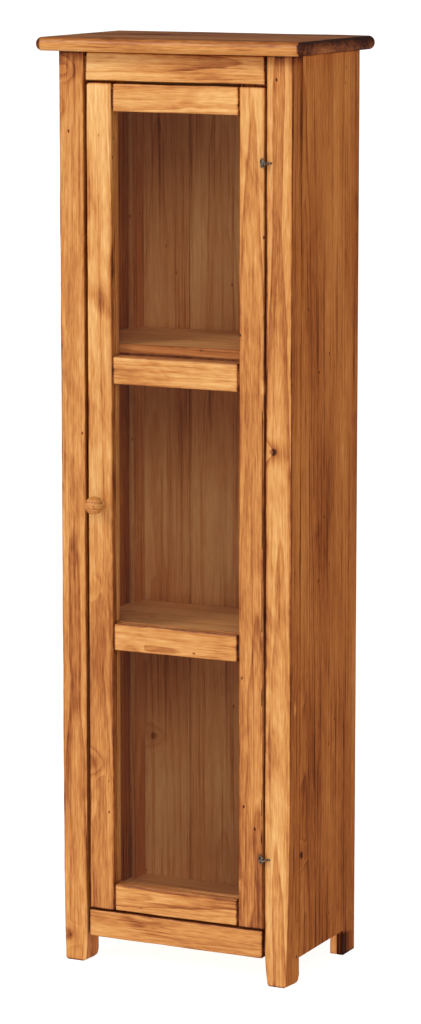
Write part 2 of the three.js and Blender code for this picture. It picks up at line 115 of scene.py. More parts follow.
# %% A finish and its nodes
class Finish:
    """A material whose node tree is written a line at a time."""

    def __init__(self, name):
        self.material = bpy.data.materials.new(name)
        self.material.use_nodes = True
        self.tree = self.material.node_tree
        self.tree.nodes.clear()

    def node(self, kind, inputs, **settings):
        """Adds a node of a kind, with its inputs by name or number."""
        made = self.tree.nodes.new("ShaderNode" + kind)
        for setting, value in settings.items():
            setattr(made, setting, value)
        for socket, value in inputs.items():
            if isinstance(value, bpy.types.NodeSocket):
                self.tree.links.new(value, made.inputs[socket])
            else:
                made.inputs[socket].default_value = value
        return made

    def math(self, operation, *values):
        return self.node("Math", dict(enumerate(values)), operation=operation).outputs[0]

    def vector(self, operation, *values):
        made = self.node("VectorMath", dict(enumerate(values)), operation=operation)
        return made.outputs["Value" if operation == "LENGTH" else "Vector"]

    def total(self, *values):
        """Adds up values."""
        sum_so_far = values[0]
        for value in values[1:]:
            sum_so_far = self.math("ADD", sum_so_far, value)
        return sum_so_far

    def weighed(self, *pairs):
        """Adds up values, each times its weight."""
        return self.total(*[self.math("MULTIPLY", value, weight) for value, weight in pairs])

    def step(self, value, low, high):
        """0 below low, 1 above high, and a smooth climb between them."""
        inputs = {"Value": value, "From Min": low, "From Max": high}
        return self.node("MapRange", inputs, interpolation_type="SMOOTHSTEP").outputs["Result"]

    def noise(self, place, scale, detail=2.0, distortion=0.0, output="Fac"):
        """Noise from 0 to 1. The scale is about how many patches there are to a metre in each
        direction: across the board, through it and along it."""
        inputs = {"Vector": self.vector("MULTIPLY", place, scale), "Scale": 1.0}
        inputs |= {"Detail": detail, "Distortion": distortion}
        return self.node("TexNoise", inputs).outputs[output]

    def cells(self, place, scale):
        """Scattered cells: the distance to the nearest middle, and a random colour for each."""
        inputs = {"Vector": self.vector("MULTIPLY", place, scale), "Scale": 1.0}
        return self.node("TexVoronoi", inputs)

    def chosen(self, cell, channel, low, high):
        """1 in the cells whose random colour is over a level, and 0 in the others."""
        colour = self.node("SeparateColor", {"Color": cell.outputs["Color"]})
        return self.step(colour.outputs[channel], low, high)

    def ramp(self, value, stops):
        """Turns a value into a colour, by stops of a position and a colour."""
        made = self.node("ValToRGB", {"Fac": value})
        elements = made.color_ramp.elements
        while len(elements) < len(stops):
            elements.new(0.5)
        for element, (position, colour) in zip(elements, stops):
            element.position = position
            element.color = (*colour, 1)
        return made.outputs["Color"]

    def own(self, name):
        """A value that the piece's own mesh carries."""
        return self.node("Attribute", {}, attribute_name=name)


def srgb(red, green, blue):
    """A colour given as screen values from 0 to 255, as the linear light that shaders use."""
    def linear(value):
        share = value / 255
        return share / 12.92 if share <= 0.04045 else ((share + 0.055) / 1.055) ** 2.4
    return linear(red), linear(green), linear(blue)


print("white is", srgb(255, 255, 255))

# %% [markdown]
# ## Waxed pine
#
# Pine is a stack of growth rings round a pith, pale where the tree grew in spring and dark where
# it slowed down in summer. A board cut beside the pith shows straight lines, and one cut far above
# it shows tall arches. Both come for free when the pattern is made in the log instead of on the
# board, so every board carries its place in the log in an attribute, and the rings are simply the
# distance from the pith.
#
# Stain and wax go on over that. All the parts of the pattern are added up to one value, how deep
# the colour is, and one ramp turns it from pale honey to nearly black. That keeps every mark
# inside the same family of browns, as one pot of stain does. The front had a honey stain, the
# sides a redder one that is also darker as painted shade, and the boards inside a browner one.

# %% The colours of the stain
HONEY = [
    (0.0, srgb(248, 212, 152)),
    (0.25, srgb(229, 174, 106)),
    (0.5, srgb(203, 134, 68)),
    (0.72, srgb(160, 89, 38)),
    (0.88, srgb(108, 50, 19)),
    (1.0, srgb(58, 24, 10)),
]
# The sides' stain: redder, and darker as painted shade on sides that turn away from the lamp.
SIENNA_AND_SHADE = [
    (0.0, srgb(238, 188, 120)),
    (0.25, srgb(214, 150, 84)),
    (0.5, srgb(190, 116, 52)),
    (0.72, srgb(152, 79, 29)),
    (0.88, srgb(100, 44, 13)),
    (1.0, srgb(50, 20, 8)),
]
UMBER = [
    (0.0, srgb(231, 175, 112)),
    (0.25, srgb(211, 142, 82)),
    (0.5, srgb(185, 109, 55)),
    (0.72, srgb(138, 80, 38)),
    (0.88, srgb(90, 50, 25)),
    (1.0, srgb(40, 22, 12)),
]
print("stains:", len(HONEY), len(SIENNA_AND_SHADE), len(UMBER), "stops")

# %% [markdown]
# ### Knots
#
# A knot is a branch that ran out from the pith, with the wood of the trunk grown round it. Cells
# scattered through the log, long the way a branch grows and narrow across it, give each branch a
# place, and some of them hold a knot. How near the knot is matters as well, because it pushes the
# rings aside.

# %% Knots
KNOT_SPREAD = 7.0
KNOT_ROUGHNESS = 0.05


def knots_in(pine, place, ragged):
    """How near a knot is, and whether this is the knot itself, both from 0 to 1."""
    cell = pine.cells(place, (KNOT_SPREAD, KNOT_SPREAD / 4, KNOT_SPREAD))
    has_knot = pine.chosen(cell, "Red", 0.60, 0.66)
    distance = pine.math("MULTIPLY_ADD", ragged, KNOT_ROUGHNESS, cell.outputs["Distance"])
    near_knot = pine.math("MULTIPLY", pine.step(distance, 0.30, 0.03), has_knot)
    knot = pine.math("MULTIPLY", pine.step(distance, 0.085, 0.06), has_knot)
    return near_knot, knot


print("knots:", KNOT_SPREAD, "cells to a metre")

# %% [markdown]
# ### Growth rings
#
# The distance from the pith is counted in years. A slow noise moves the pith about, the trunk
# gets thinner with height, and a knot pushes the rings outwards. Within one year the wood darkens
# slowly and then stops at once, which is what a ramp with its last stop close to the end gives.

# %% Growth rings
PITH_WANDER = 0.016
TAPER = 0.012
KNOT_PUSH = 0.009
UNEVEN_YEARS = 2.6
SEASON = [
    (0.0, (0.0,) * 3),
    (0.4, (0.12,) * 3),
    (0.8, (0.75,) * 3),
    (0.93, (1.0,) * 3),
    (1.0, (0.0,) * 3),
]


def growth_rings(pine, place, near_knot, year):
    """The late wood of each ring, from 0 to 1, where year is the width of a year's growth."""
    wander = pine.noise(place, (13, 13, 2.2), detail=2, output="Color")
    wander = pine.vector("SUBTRACT", wander, (0.5,) * 3)
    wander = pine.vector("MULTIPLY", wander, (PITH_WANDER,) * 3)
    flat = pine.vector("MULTIPLY", pine.vector("ADD", place, wander), (1, 1, 0))
    height = pine.node("SeparateXYZ", {"Vector": place}).outputs["Z"]
    from_pith = pine.math("MULTIPLY_ADD", height, TAPER, pine.vector("LENGTH", flat))
    from_pith = pine.math("MULTIPLY_ADD", near_knot, KNOT_PUSH, from_pith)
    years = pine.math("DIVIDE", from_pith, year)
    uneven = pine.node("TexNoise", {"W": years, "Scale": 0.35}, noise_dimensions="1D")
    years = pine.math("MULTIPLY_ADD", uneven.outputs["Fac"], UNEVEN_YEARS, years)
    ring = pine.ramp(pine.math("FRACT", years), SEASON)
    this_year = pine.math("FLOOR", years)
    year_draw = pine.node("TexWhiteNoise", {"W": this_year}, noise_dimensions="1D")
    ring_depth = pine.math("MULTIPLY_ADD", year_draw.outputs["Value"], 0.8, 0.3)
    return pine.math("MULTIPLY", ring, ring_depth)


print("a year has", len(SEASON), "stops")

# %% [markdown]
# ### Specks and gouges
#
# Years of use leave dark specks where dirt went in, and shallow gouges where the wax is pale. Both
# are cells again, and a random colour in each cell says whether it holds a mark.

# %% Specks and gouges
GOUGE_ROUGHNESS = 0.1


def specks_in(pine, place):
    cell = pine.cells(place, (40, 40, 24))
    inside = pine.step(cell.outputs["Distance"], 0.11, 0.05)
    return pine.math("MULTIPLY", inside, pine.chosen(cell, "Red", 0.80, 0.84))


def gouges_in(pine, place, ragged):
    cell = pine.cells(place, (15, 15, 6))
    distance = pine.math("MULTIPLY_ADD", ragged, GOUGE_ROUGHNESS, cell.outputs["Distance"])
    inside = pine.step(distance, 0.17, 0.09)
    return pine.math("MULTIPLY", inside, pine.chosen(cell, "Green", 0.82, 0.85))


print("marks: specks and gouges")

# %% [markdown]
# ### Edges and ends
#
# Old wax and dirt stay beside the edges, the arrises are rubbed pale again in places, which is
# wear and a painted highlight, and thirsty end grain takes more stain. The board tells how far a
# point is from its middle and how big half of it is, so the difference is the distance to each
# wall. On a face the smallest of the three is about zero, so the next one is the distance to the
# nearest edge.

# %% Edges and ends
EDGE_ROUGHNESS = 0.004
END_ROUGHNESS = 0.003


def edges_of(pine, ragged, cloud):
    """The dark band beside an edge, the rubbed arris, which is also a painted highlight, and the end
    grain, each from 0 to 1.
    """
    from_middle = pine.vector("ABSOLUTE", pine.own("from_middle").outputs["Vector"])
    inward = pine.vector("SUBTRACT", pine.own("half_size").outputs["Vector"], from_middle)
    across, deep, along = pine.node("SeparateXYZ", {"Vector": inward}).outputs
    smallest = pine.math("MINIMUM", pine.math("MINIMUM", across, deep), along)
    largest = pine.math("MAXIMUM", pine.math("MAXIMUM", across, deep), along)
    outer_two = pine.total(smallest, largest)
    to_edge = pine.math("SUBTRACT", pine.total(across, deep, along), outer_two)
    to_edge = pine.math("MULTIPLY_ADD", ragged, EDGE_ROUGHNESS, to_edge)
    edge = pine.step(to_edge, 0.0075, 0.0015)
    arris = pine.step(to_edge, 0.0030, 0.0010)
    # The pale arris is wear and a painted highlight.
    rubbed_arris_highlight = pine.math("MULTIPLY", arris, pine.step(cloud, 0.56, 0.44))
    to_end = pine.math("MULTIPLY_ADD", ragged, END_ROUGHNESS, along)
    end = pine.step(to_end, 0.0045, 0.0015)
    return edge, rubbed_arris_highlight, end


print("edges: dark beside them, pale on them")

# %% [markdown]
# ### The whole finish
#
# The stain itself soaks in unevenly: broad clouds, slanting flames that come in patches, fine dark
# streaks, and a fibre that is finer still. Every part is stretched along the log, because stain
# runs along the grain. The same parts then make the surface, where rings stand up and gouges lie
# deep, together with the flats and the chatter that the plane left.

# %% Waxed pine
FLAME_SLANT = math.radians(24)
RING_MIDDLE, FLAME_MIDDLE, STREAK_MIDDLE = 0.1, 0.25, 0.3
CLOUD_DEPTH = 0.62
SMUDGE_SHARE, GRIT_SHARE = 0.8, 2.4
RELIEF_HEIGHT = 0.0006


def waxed_pine(name, stain, depth, year, rings, flames, streaks, mottle, gloss, wax):
    """Pine whose pattern lies in the log. depth is how dark it is as a whole, and year is the
    width of one year's growth. rings, flames, streaks and mottle say how much each part of the
    pattern shows. gloss is the roughness that polishing left, and wax is how much wax there is."""
    pine = Finish(name)
    place = pine.own("log_place").outputs["Vector"]
    tone = pine.own("tone").outputs["Fac"]
    ragged = pine.noise(place, (90, 90, 60), detail=3)
    near_knot, knot = knots_in(pine, place, ragged)
    ring = growth_rings(pine, place, near_knot, year)
    speck = specks_in(pine, place)
    gouge = gouges_in(pine, place, ragged)

    leaning = pine.node("Mapping", {"Vector": place, "Rotation": (0, FLAME_SLANT, 0)})
    flame = pine.noise(leaning.outputs["Vector"], (24, 24, 6), detail=4, distortion=0.3)
    flame_patch = pine.step(pine.noise(place, (6, 6, 2.5)), 0.46, 0.66)
    flame = pine.math("MULTIPLY", pine.step(flame, 0.42, 0.74), flame_patch)
    cloud = pine.noise(place, (9, 9, 1.8), detail=3)
    smudge = pine.noise(place, (75, 75, 32), detail=4)
    grit = pine.noise(place, (280, 280, 34), detail=3)
    streak = pine.step(pine.noise(place, (150, 150, 2.4), detail=3), 0.5, 0.78)
    fibre = pine.noise(place, (650, 650, 13), detail=2)
    edge, rubbed_arris_highlight, end = edges_of(pine, ragged, cloud)

    plain = depth - FLAME_MIDDLE * flames - STREAK_MIDDLE * streaks - CLOUD_DEPTH / 2
    marks = pine.weighed(
        (ring, rings),
        (flame, flames),
        (cloud, CLOUD_DEPTH),
        (streak, streaks),
        (pine.math("SUBTRACT", fibre, 0.5), 0.36),
        (pine.math("SUBTRACT", smudge, 0.5), SMUDGE_SHARE * mottle),
        (pine.math("SUBTRACT", grit, 0.5), GRIT_SHARE * mottle),
        (near_knot, 0.10),
        (knot, 0.30),
        (speck, 0.40),
        (gouge, -0.28),
        (edge, 0.21),
        (rubbed_arris_highlight, -0.24),
        (end, 0.26),
    )
    colour_depth = pine.total(tone, plain - RING_MIDDLE * rings, marks)

    flats = pine.noise(place, (34, 34, 13), detail=1)
    chatter_wave = pine.node(
        "TexWave",
        {"Vector": leaning.outputs["Vector"], "Scale": 46.0, "Distortion": 3.0, "Detail": 1.0},
        bands_direction="Z",
    )
    chatter_patch = pine.step(pine.noise(place, (20, 20, 7)), 0.56, 0.68)
    chatter = pine.math("MULTIPLY", chatter_wave.outputs["Fac"], chatter_patch)
    surface = pine.weighed(
        (ring, 0.25),
        (fibre, 0.35),
        (chatter, 0.35),
        (gouge, -3.0),
        (speck, -1.0),
        (cloud, 2.0),
        (flats, 5.0),
    )
    relief = pine.node("Bump", {"Height": surface, "Strength": 0.6, "Distance": RELIEF_HEIGHT})
    dullness = pine.total(pine.weighed((flame, 0.10), (end, 0.15), (fibre, 0.12)), gloss)
    shader = pine.node("BsdfPrincipled", {
        "Base Color": pine.ramp(colour_depth, stain),
        "Roughness": dullness,
        "Specular IOR Level": 0.5 * wax,
        "Coat Weight": 0.15 * wax,
        "Coat Roughness": 0.3,
        "Normal": relief.outputs["Normal"],
    })
    pine.node("OutputMaterial", {"Surface": shader.outputs["BSDF"]})
    return pine.material


pines = {
    "pine_front": waxed_pine(
        "waxed_pine_front", HONEY, depth=0.51, year=0.0075, rings=0.26, flames=0.28,
        streaks=0.20, mottle=0.17, gloss=0.34, wax=0.6,
    ),
    # The sides' deeper colour is partly painted shade.
    "pine_side": waxed_pine(
        "waxed_pine_side", SIENNA_AND_SHADE, depth=0.67, year=0.0036, rings=0.18, flames=0.05,
        streaks=0.34, mottle=0.12, gloss=0.40, wax=0.15,
    ),
    "pine_top": waxed_pine(
        "waxed_pine_top", HONEY, depth=0.54, year=0.0046, rings=0.14, flames=0.14,
        streaks=0.20, mottle=0.16, gloss=0.34, wax=0.5,
    ),
    "pine_inside": waxed_pine(
        "waxed_pine_inside", UMBER, depth=0.32, year=0.0056, rings=0.20, flames=0.06,
        streaks=0.34, mottle=0.10, gloss=0.45, wax=0.12,
    ),
}
print("pine finishes:", sorted(pines))

# %% [markdown]
# ## Glass, iron and steel
#
# The panes are plain window glass. A thin flat pane hardly bends what is seen through it, so a
# transparent shader stands for it, with a mirror mixed in: little when looked at straight on, and
# more at a slant. The Fresnel node would count the back face of the pane as seen from inside the
# glass, so the share is worked out from how slanted the face is. Lamps shine through such a pane,
# which a shader that bends light would not let them do.
#
# The hinge wire is iron from a forge: dark, with dents and worn places. The screws under the top
# and the nails in the back are plain steel.


# %% Glass and metals
GLASS_TINT = (0.985, 0.992, 0.988, 1)
MIRRORED_STRAIGHT_ON = 0.04
MIRROR_CURVE = 5


def window_glass():
    pane = Finish("window_glass")
    clear = pane.node("BsdfTransparent", {"Color": GLASS_TINT})
    mirror = pane.node("BsdfAnisotropic", {"Color": (1, 1, 1, 1), "Roughness": 0.02})
    slant = pane.node("LayerWeight", {"Blend": 0.5}).outputs["Facing"]
    slanted = pane.math("POWER", slant, MIRROR_CURVE)
    most = 1 - MIRRORED_STRAIGHT_ON
    mirrored = pane.math("MULTIPLY_ADD", slanted, most, MIRRORED_STRAIGHT_ON)
    both = pane.node("MixShader", {
        0: mirrored,
        1: clear.outputs["BSDF"],
        2: mirror.outputs["BSDF"],
    })
    pane.node("OutputMaterial", {"Surface": both.outputs["Shader"]})
    return pane.material


def worn_metal(name, dark, bright, metallic, roughness, dent):
    """Metal with dark and bright patches and hammer marks, where dent is how deep they are."""
    metal = Finish(name)
    place = metal.node("TexCoord", {}).outputs["Object"]
    patches = metal.noise(place, (420,) * 3, detail=3)
    hammering = metal.cells(place, (260,) * 3).outputs["Distance"]
    shade = metal.step(patches, 0.42, 0.66)
    surface = metal.math("MULTIPLY_ADD", patches, 0.5, hammering)
    relief = metal.node("Bump", {"Height": surface, "Strength": 0.7, "Distance": dent})
    shader = metal.node("BsdfPrincipled", {
        "Base Color": metal.ramp(shade, [(0, dark), (1, bright)]),
        "Metallic": metallic,
        "Roughness": metal.math("MULTIPLY_ADD", patches, 0.25, roughness),
        "Normal": relief.outputs["Normal"],
    })
    metal.node("OutputMaterial", {"Surface": shader.outputs["BSDF"]})
    return metal.material


finishes = pines | {
    "glass": window_glass(),
    "iron": worn_metal(
        "forged_iron", dark=srgb(66, 56, 47), bright=srgb(172, 156, 138),
        metallic=0.45, roughness=0.30, dent=0.0004,
    ),
    "steel": worn_metal(
        "plain_steel", dark=srgb(150, 150, 148), bright=srgb(196, 196, 192),
        metallic=1.0, roughness=0.25, dent=0.00005,
    ),
}
print("finishes:", sorted(finishes))

# %% [markdown]
# ## From a drawn board to a worked one
#
# The drawing's mesh is loose triangles. A copy is merged and its flat triangles are joined, which
# gives clean faces with crisp edges. Only the edges on the outside of a board are softened: the
# ones inside a joint stay sharp, as a chisel leaves them. An edge counts as outside when both of
# its faces lie on the board's box, or are the shoulders of a rail, or the arch beside a foot.

# %% A clean copy of a drawn piece
MERGE_DISTANCE = 0.00001
ON_PLANE = 0.00005
FLAT_ANGLE = math.radians(1)
CORNER_ANGLE = math.radians(50)
SHOULDER_SLANT = 0.006
AXES = range(3)
ALONG_AXIS = 0.99
NO_SLANT = 0.01


def copy_of(name):
    """A drawn piece as a bmesh, with its corners merged and its flat faces joined."""
    work = bmesh.new()
    work.from_mesh(nodes[name].data)
    bmesh.ops.remove_doubles(work, verts=work.verts, dist=MERGE_DISTANCE)
    bmesh.ops.dissolve_limit(work, angle_limit=FLAT_ANGLE, verts=work.verts, edges=work.edges)
    return work


class Board:
    """The sizes of a drawn board, and which way its grain runs."""

    def __init__(self, name):
        self.name = name
        self.body = nodes[name]["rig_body"]
        self.slot = nodes[name].data.materials[0].name
        self.low, self.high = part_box(name)
        size = self.high - self.low
        self.deep, self.across, self.along = sorted(AXES, key=lambda axis: size[axis])
        self.draw = random.Random(name)
        self.body_low, self.body_high = self.low.copy(), self.high.copy()

    def keep_body(self, work):
        """Finds where the face of a rail ends, because its tenons run on past it."""
        face = [v.co for v in work.verts if abs(v.co.y - self.low.y) < ON_PLANE]
        if self.slot == "pine_front" and self.along == 0:
            self.body_low[self.along] = min(co[self.along] for co in face)
            self.body_high[self.along] = max(co[self.along] for co in face)

    def is_outside(self, face):
        """True on the board's box, on a rail's shoulders, and on a foot's arch, which slants but
        doesn't lean to either side."""
        middle = face.calc_center_median()
        for axis in AXES:
            if abs(face.normal[axis]) > ALONG_AXIS:
                near = ON_PLANE if axis != self.along else SHOULDER_SLANT
                ends = [self.low, self.high, self.body_low, self.body_high]
                return any(abs(middle[axis] - end[axis]) < near for end in ends)
        return abs(face.normal.x) < NO_SLANT


def outside_corners(work, board):
    """The crisp edges on the outside of a board."""
    outside = {face for face in work.faces if board.is_outside(face)}
    return [
        edge for edge in work.edges
        if len(edge.link_faces) == 2
        and edge.is_convex
        and edge.calc_face_angle() > CORNER_ANGLE
        and outside.issuperset(edge.link_faces)
    ]


for piece_name in ("apron", "door_left_stile", "right_post"):
    board = Board(piece_name)
    work = copy_of(piece_name)
    board.keep_body(work)
    print(piece_name, len(work.faces), "faces,", len(outside_corners(work, board)), "outside edges")
    work.free()

# %% [markdown]
# A hand plane never leaves a board dead flat. Once the edges are round, the board is sliced along
# its length, and the corners of the slices are moved inwards by a slow noise and a quicker one: a
# millimetre or two at most, which is enough for the light to run unevenly along an edge. Two faces
# that look opposite ways take their noise from different places, so they don't wander together.
# Everything moves inwards only, so a board never grows into its neighbour.

# %% Soft edges and a wandering plane
EDGE_STEPS = 3
EDGE_BAND = 0.004
THIN_IN_BANDS = 3
CUT_TOLERANCE = 1e-6
SLOW_SCALE, ALONG_SCALE, QUICK_SCALE = 4, 9, 4.3
SLOW_SHARE, QUICK_SHARE = 0.7, 0.3
OWN_NOISE = 5


def cut_across(work, axis, places):
    """Slices the whole mesh at each place along one axis."""
    normal = Vector((0, 0, 0))
    normal[axis] = 1
    for place in places:
        everything = work.verts[:] + work.edges[:] + work.faces[:]
        point = normal * place
        bmesh.ops.bisect_plane(
            work, geom=everything, dist=CUT_TOLERANCE, plane_co=point, plane_no=normal
        )


def spaced(start, end, step):
    """Places between two ends, evenly spaced and about one step apart."""
    count = max(1, round((end - start) / step))
    return [start + (end - start) * i / count for i in range(1, count)]


def round_off(work, edges, radius, steps):
    """Rounds some edges with a bevel of several steps."""
    bmesh.ops.bevel(
        work,
        geom=edges,
        offset=radius,
        affect="EDGES",
        segments=steps,
        profile=0.5,
        material=-1,
        clamp_overlap=True,
    )


def soften(work, board, radius):
    """Rounds the outside edges of a board."""
    round_off(work, outside_corners(work, board), radius, EDGE_STEPS)


def slice_up(work, board, radius, step):
    """Cuts the faces into strips that a wandering plane can move."""
    for axis in (board.deep, board.across):
        low, high = board.low[axis], board.high[axis]
        band = radius + EDGE_BAND
        if high - low > THIN_IN_BANDS * band:
            cut_across(work, axis, [low + band, (low + high) / 2, high - band])
    low, high = board.body_low[board.along], board.body_high[board.along]
    cut_across(work, board.along, spaced(low + radius, high - radius, step))


def wander(work, board, radius, reach, across_reach):
    """Moves the outer skin inwards by a slow noise, up to the reach of each direction."""
    shift = Vector([board.draw.uniform(0, 9) for axis in AXES])
    for vert in work.verts:
        moved = vert.co.copy()
        for axis, most in ((board.deep, reach), (board.across, across_reach)):
            for side, wall in ((1, board.low[axis]), (-1, board.high[axis])):
                if abs(vert.co[axis] - wall) > radius + ON_PLANE:
                    continue
                place = vert.co * SLOW_SCALE + shift
                place[board.along] = vert.co[board.along] * ALONG_SCALE + shift.x
                place[axis] = side * OWN_NOISE
                slow = noise.noise(place) * 0.5 + 0.5
                quick = noise.noise(place * QUICK_SCALE) * 0.5 + 0.5
                moved[axis] += side * most * (SLOW_SHARE * slow + QUICK_SHARE * quick)
        vert.co = moved


print("edges are rounded in", EDGE_STEPS, "steps")

# %% [markdown]
# ## Where in the log a board lay
#
# The finish reads four values from the mesh. `log_place` is the place in the log, with the pith at
# zero across and deep. `from_middle` and `half_size` tell how far an edge or an end is. `tone` is
# how deep the stain took on this board, which differs from one stretch to the next, together with
# the painted shade that some places get.
#
# A board's pith is drawn at random from a fixed seed, so every run saws the same boards.

# %% Give a board its place in the log
PITH_DEPTH = (0.05, 0.11)
PITH_BESIDE = 0.6
QUARTERED_BESIDE = (0.09, 0.16)
LOG_LENGTH = 9.0
LEAN = 0.01


def carry(mesh, name, kind, field, values):
    """Stores one value for each corner of the mesh."""
    attribute = mesh.attributes.new(name, kind, "POINT")
    if kind == "FLOAT_VECTOR":
        values = [number for value in values for number in value]
    attribute.data.foreach_set(field, values)


def place_in_log(mesh, board, tone, quartered=False, end_band=0.0, marked=True):
    """Writes the values that the waxed finish reads. tone gives the depth of the stain, and of the
    painted shade, from how far along the board a corner is, from -1 to 1, and its place. A quartered
    board lay beside the pith and not under it, and a piece that isn't marked gets no dark edges."""
    order = (board.across, board.deep, board.along)
    middle = (board.body_low + board.body_high) / 2
    half = (board.body_high - board.body_low) / 2
    if quartered:
        beside = board.draw.uniform(*QUARTERED_BESIDE)
    else:
        beside = board.draw.uniform(-PITH_BESIDE, PITH_BESIDE) * half[board.across]
    below = board.draw.uniform(*PITH_DEPTH)
    start = board.draw.uniform(0, LOG_LENGTH)
    away = board.draw.uniform(-LEAN, LEAN)
    places, offsets, tones = [], [], []
    for vert in mesh.vertices:
        across, deep, along = (vert.co[axis] - middle[axis] for axis in order)
        places.append((across + beside + away * along, deep + below, along + start))
        offsets.append((across, deep, along) if marked else (0, 0, 0))
        tones.append(tone(along / half[board.along], vert.co))
    half[board.along] -= end_band
    size = [half[axis] for axis in order] if marked else [1, 1, 1]
    carry(mesh, "log_place", "FLOAT_VECTOR", "vector", places)
    carry(mesh, "from_middle", "FLOAT_VECTOR", "vector", offsets)
    carry(mesh, "half_size", "FLOAT_VECTOR", "vector", [size] * len(mesh.vertices))
    carry(mesh, "tone", "FLOAT", "value", tones)


SHARP_ANGLE = math.radians(40)


def finished(work, name, finish, body):
    """Turns a bmesh into a piece: shaded smoothly over soft edges, and riding on its body."""
    bmesh.ops.remove_doubles(work, verts=work.verts, dist=MERGE_DISTANCE)
    for face in work.faces:
        face.smooth = True
    for edge in work.edges:
        edge.smooth = not edge.is_manifold or edge.calc_face_angle() < SHARP_ANGLE
    mesh = bpy.data.meshes.new(name)
    work.to_mesh(mesh)
    work.free()
    mesh.materials.append(finishes[finish])
    piece = bpy.data.objects.new(name, mesh)
    scene.collection.objects.link(piece)
    even = piece.modifiers.new("even shading", "WEIGHTED_NORMAL")
    even.keep_sharp = True
    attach(piece, body)
    return piece


print("a log is", LOG_LENGTH, "metres long")

# %% [markdown]
# ## Worn corners and short rails
#
# Use and hasty joinery show in a few places. The feet are kicked until their corners are gone and
# their front faces have grown narrow. The free corner of the door, which hands and dusters pass
# every day, is worn round. And the rails were cut a little short and not quite square, so dark
# wedges show at their ends. These are moves of single corners of the mesh, so they come as small
# helpers that work on any board.

# %% Worn corners
CORNER_CUTS = 5
FOOT_CURVE = 1.4

rail_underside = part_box("bottom_rail")[0].z


def cut_near(work, board, axis, at, radius):
    """Slices close together beside a corner that will be worn round."""
    inward = radius if at == board.low[axis] else -radius
    places = [at + inward * i / CORNER_CUTS for i in range(1, CORNER_CUTS + 1)]
    cut_across(work, axis, places)


def wear_corner(work, board, x_wall, z_wall, radius):
    """Rounds a corner of a board as it is seen from the front."""
    cut_near(work, board, 0, x_wall, radius)
    cut_near(work, board, 2, z_wall, radius)
    x_in = 1 if x_wall == board.low.x else -1
    z_in = 1 if z_wall == board.low.z else -1
    middle = Vector((x_wall + x_in * radius, 0, z_wall + z_in * radius))
    for vert in work.verts:
        out = Vector((vert.co.x - middle.x, 0, vert.co.z - middle.z))
        if out.x * x_in < 0 and out.z * z_in < 0 and out.length > radius:
            vert.co += out * (radius / out.length - 1)


def narrow_foot(work, board, height, inner, outer):
    """Narrows the front of a post towards the floor, on its inner and outer side."""
    middle = (board.low + board.high) / 2
    outward = 1 if middle.x > 0 else -1
    half = (board.high.x - board.low.x) / 2
    for vert in work.verts:
        share = max(0.0, 1 - vert.co.z / height)
        front = max(0.0, 1 - (vert.co.y - board.low.y) / (board.high.y - board.low.y))
        beside = (vert.co.x - middle.x) / half * outward
        if beside > 0:
            vert.co.x -= outward * outer * share ** FOOT_CURVE * front * beside
        elif vert.co.z < rail_underside:
            deep_share = 1 - vert.co.z / rail_underside
            vert.co.x -= outward * inner * deep_share * front * beside


def worn_door_stile(work, board):
    wear_corner(work, board, board.low.x, board.high.z, radius=0.011)
    wear_corner(work, board, board.low.x, board.low.z, radius=0.004)


def worn_hinge_stile(work, board):
    wear_corner(work, board, board.high.x, board.high.z, radius=0.004)


def worn_left_post(work, board):
    wear_corner(work, board, board.low.x, board.low.z, radius=0.008)
    wear_corner(work, board, board.high.x, board.low.z, radius=0.010)
    narrow_foot(work, board, height=0.22, inner=0.005, outer=0.003)


def worn_right_post(work, board):
    wear_corner(work, board, board.high.x, board.low.z, radius=0.008)
    wear_corner(work, board, board.low.x, board.low.z, radius=0.008)
    narrow_foot(work, board, height=0.30, inner=0.006, outer=0.008)


WEAR = {
    "door_left_stile": worn_door_stile,
    "door_right_stile": worn_hinge_stile,
    "left_post": worn_left_post,
    "right_post": worn_right_post,
}
print("worn boards:", sorted(WEAR))


# %% Short rails
def short_rail(left, right):
    """Cuts a rail's shoulders back: (at the bottom, at the top) for the left and right end."""
    def cut_back(work, board):
        height = board.high.z - board.low.z
        for vert in work.verts:
            share = (vert.co.z - board.low.z) / height
            for wall, side, (bottom, top) in (
                (board.body_low.x, 1, left),
                (board.body_high.x, -1, right),
            ):
                if abs(vert.co.x - wall) < ON_PLANE:
                    vert.co.x += side * (bottom + (top - bottom) * share)
        board.keep_body(work)
    return cut_back


SHORT_RAILS = {
    "apron": short_rail(left=(0.0010, 0.0042), right=(0.0025, 0.0055)),
    "bottom_rail": short_rail(left=(0.0010, 0.0016), right=(0.0048, 0.0036)),
    "door_top_rail": short_rail(left=(0.0012, 0.0022), right=(0.0, 0.0006)),
    "door_upper_rail": short_rail(left=(0.0004, 0.0002), right=(0.0018, 0.0010)),
    "door_lower_rail": short_rail(left=(0.0002, 0.0008), right=(0.0012, 0.0020)),
    "door_bottom_rail": short_rail(left=(0.0008, 0.0), right=(0.0016, 0.0008)),
}
print("short rails:", sorted(SHORT_RAILS))

# %% [markdown]
# ## How the stain took
#
# One pot of stain comes out differently on every board, and changes along it. So each board has a
# small function that gives the depth of its stain. A positive depth is darker than the finish's
# own, and a negative one paler. Inside, the back is darker just under each shelf and under the
# top, which is painted shade, and hands have darkened the shelves' front edges.

# %% The stain of each board
# Painted shade on the back under each shelf and under the top, and the rest of the back a little
# paler.
SHELF_SHADE = 0.28
SHELF_SHADE_REACH = 0.36
BACK_PALER = -0.06
SHELF_EDGE_STAIN = 0.24
SHELF_EDGE = 0.004

ceilings = [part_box(name)[0].z for name in ("lower_shelf", "upper_shelf", "top_board")]
back_middle = sum(corner.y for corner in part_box("back_board_1")) / 2
shelf_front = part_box("upper_shelf")[0].y


def steady(depth):
    """The same depth of stain all along a board."""
    return lambda share, place: depth


